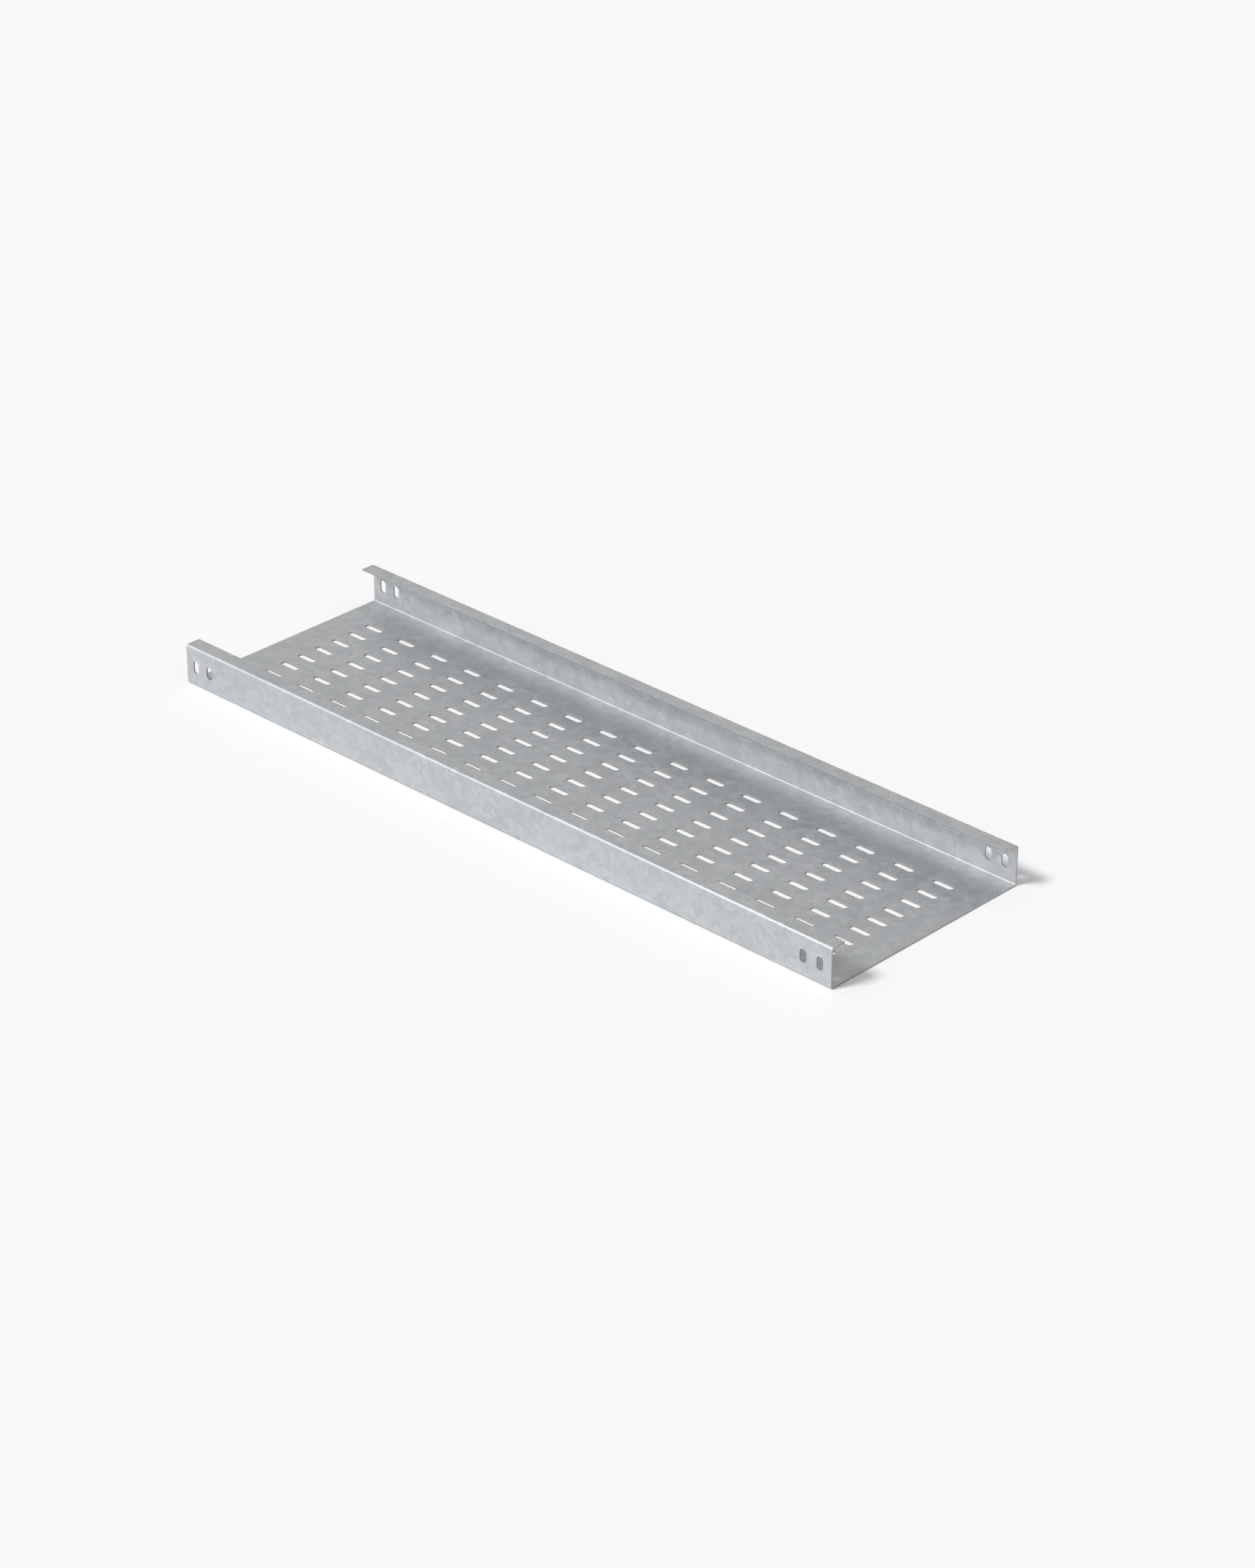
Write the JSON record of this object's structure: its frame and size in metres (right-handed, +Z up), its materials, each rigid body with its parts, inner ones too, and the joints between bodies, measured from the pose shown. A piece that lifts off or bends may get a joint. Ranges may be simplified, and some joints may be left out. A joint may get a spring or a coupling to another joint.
{
  "type": "straight perforated cable tray",
  "caption": "Straight steel cable tray: slotted floor, two side walls with inward top flanges and joint slots at both ends.",
  "frame": {"origin": "middle of the tray's underside", "axes": "+X along the tray, +Y across it from one wall to the other, +Z up out of the open side"},
  "size_m": [1, 0.3, 0.05],
  "materials": {
    "galvanised_sheet": "satin zinc coat"
  },
  "bodies": {
    "root": {"tray": "galvanised_sheet"}
  },
  "joints": []
}
